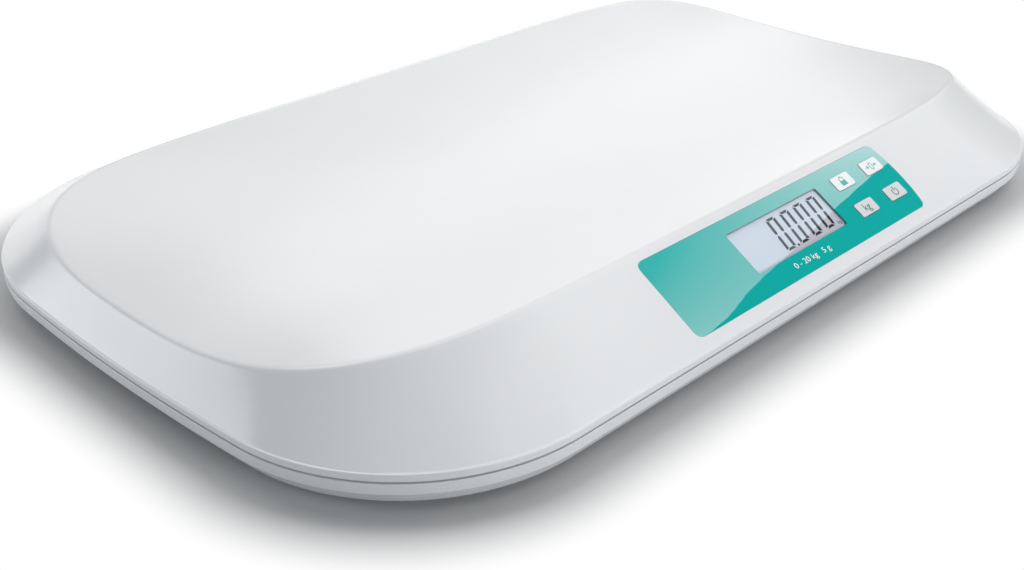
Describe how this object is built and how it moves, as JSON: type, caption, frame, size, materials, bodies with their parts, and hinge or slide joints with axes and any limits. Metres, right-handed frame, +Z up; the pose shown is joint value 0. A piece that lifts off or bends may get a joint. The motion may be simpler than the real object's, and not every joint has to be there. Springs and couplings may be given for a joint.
{
  "type": "baby weighing scale",
  "caption": "Digital baby weighing scale: a shallow dished tray on a flat base, with a sloping front panel that carries the display and press keys.",
  "frame": {"origin": "centre of the footprint, on the floor under the foot pads", "axes": "+X along the tray, the display panel faces -Y, +Z up"},
  "size_m": [0.55, 0.37, 0.0483],
  "materials": {
    "shell_white": "satin white moulding",
    "base_white": "satin white moulding",
    "film_teal": "printed polyester film",
    "lens_clear": "clear acrylic",
    "lcd_glass": "display glass with its rear polariser",
    "foam_black": "closed-cell foam",
    "frame_plastic": "natural plastic",
    "contact_rubber": "layered conductive rubber",
    "board_green": "lacquered board",
    "black_plastic": "black resin",
    "key_grey": "satin key cap",
    "screw_steel": "zinc plated steel",
    "contact_metal": "nickel plated spring strip",
    "cell_wrap": "plain wrapped cell",
    "load_steel": "blanked steel",
    "holder_plastic": "natural plastic",
    "pad_rubber": "anti-slip rubber",
    "wire_black": "sleeved wire pair",
    "wire_red": "sleeved wire bundle"
  },
  "bodies": {
    "scale_body": {"upper_case": "shell_white", "base_case": "base_white", "panel_film": "film_teal", "display_lens": "lens_clear", "display_glass": "lcd_glass", "display_seal": "foam_black", "display_frame": "frame_plastic", "elastomer_strip": "contact_rubber", "circuit_board": "board_green", "controller_chip": "black_plastic", "board_parts": "black_plastic", "lead_sockets": "frame_plastic", "board_screws": "screw_steel", "key_switches": "black_plastic", "cell_1": "cell_wrap", "cell_2": "cell_wrap", "cell_3": "cell_wrap", "cell_4": "cell_wrap", "contact_springs": "contact_metal", "contact_plates": "contact_metal", "battery_lead": "wire_black", "load_cell_fl": "load_steel", "load_cell_fr": "load_steel", "load_cell_bl": "load_steel", "load_cell_br": "load_steel", "cell_holder_fl": "holder_plastic", "cell_holder_fr": "holder_plastic", "cell_holder_bl": "holder_plastic", "cell_holder_br": "holder_plastic", "holder_screws": "screw_steel", "foot_fl": "base_white", "foot_fr": "base_white", "foot_bl": "base_white", "foot_br": "base_white", "foot_pad_fl": "pad_rubber", "foot_pad_fr": "pad_rubber", "foot_pad_bl": "pad_rubber", "foot_pad_br": "pad_rubber", "sensor_lead_fl": "wire_red", "sensor_lead_fr": "wire_red", "sensor_lead_bl": "wire_red", "sensor_lead_br": "wire_red", "case_screws": "screw_steel"},
    "key_lock": {"key_lock": "key_grey", "plunger_lock": "frame_plastic"},
    "key_zero": {"key_zero": "key_grey", "plunger_zero": "frame_plastic"},
    "key_unit": {"key_unit": "key_grey", "plunger_unit": "frame_plastic"},
    "key_power": {"key_power": "key_grey", "plunger_power": "frame_plastic"},
    "battery_door": {"battery_door": "base_white", "door_screws": "screw_steel"}
  },
  "joints": [
    {"name": "press_lock", "type": "slide", "parent": "scale_body", "child": "key_lock", "axis": [0, 0.5225, -0.8527], "range_m": [0, 0.0005], "stiffness_N_per_m": 2500},
    {"name": "press_zero", "type": "slide", "parent": "scale_body", "child": "key_zero", "axis": [0, 0.5225, -0.8527], "range_m": [0, 0.0005], "stiffness_N_per_m": 2500},
    {"name": "press_unit", "type": "slide", "parent": "scale_body", "child": "key_unit", "axis": [0, 0.5225, -0.8527], "range_m": [0, 0.0005], "stiffness_N_per_m": 2500},
    {"name": "press_power", "type": "slide", "parent": "scale_body", "child": "key_power", "axis": [0, 0.5225, -0.8527], "range_m": [0, 0.0005], "stiffness_N_per_m": 2500},
    {"name": "door_lift_off", "type": "slide", "parent": "scale_body", "child": "battery_door", "axis": [0, 0, -1], "range_m": [0, 0.03]}
  ]
}
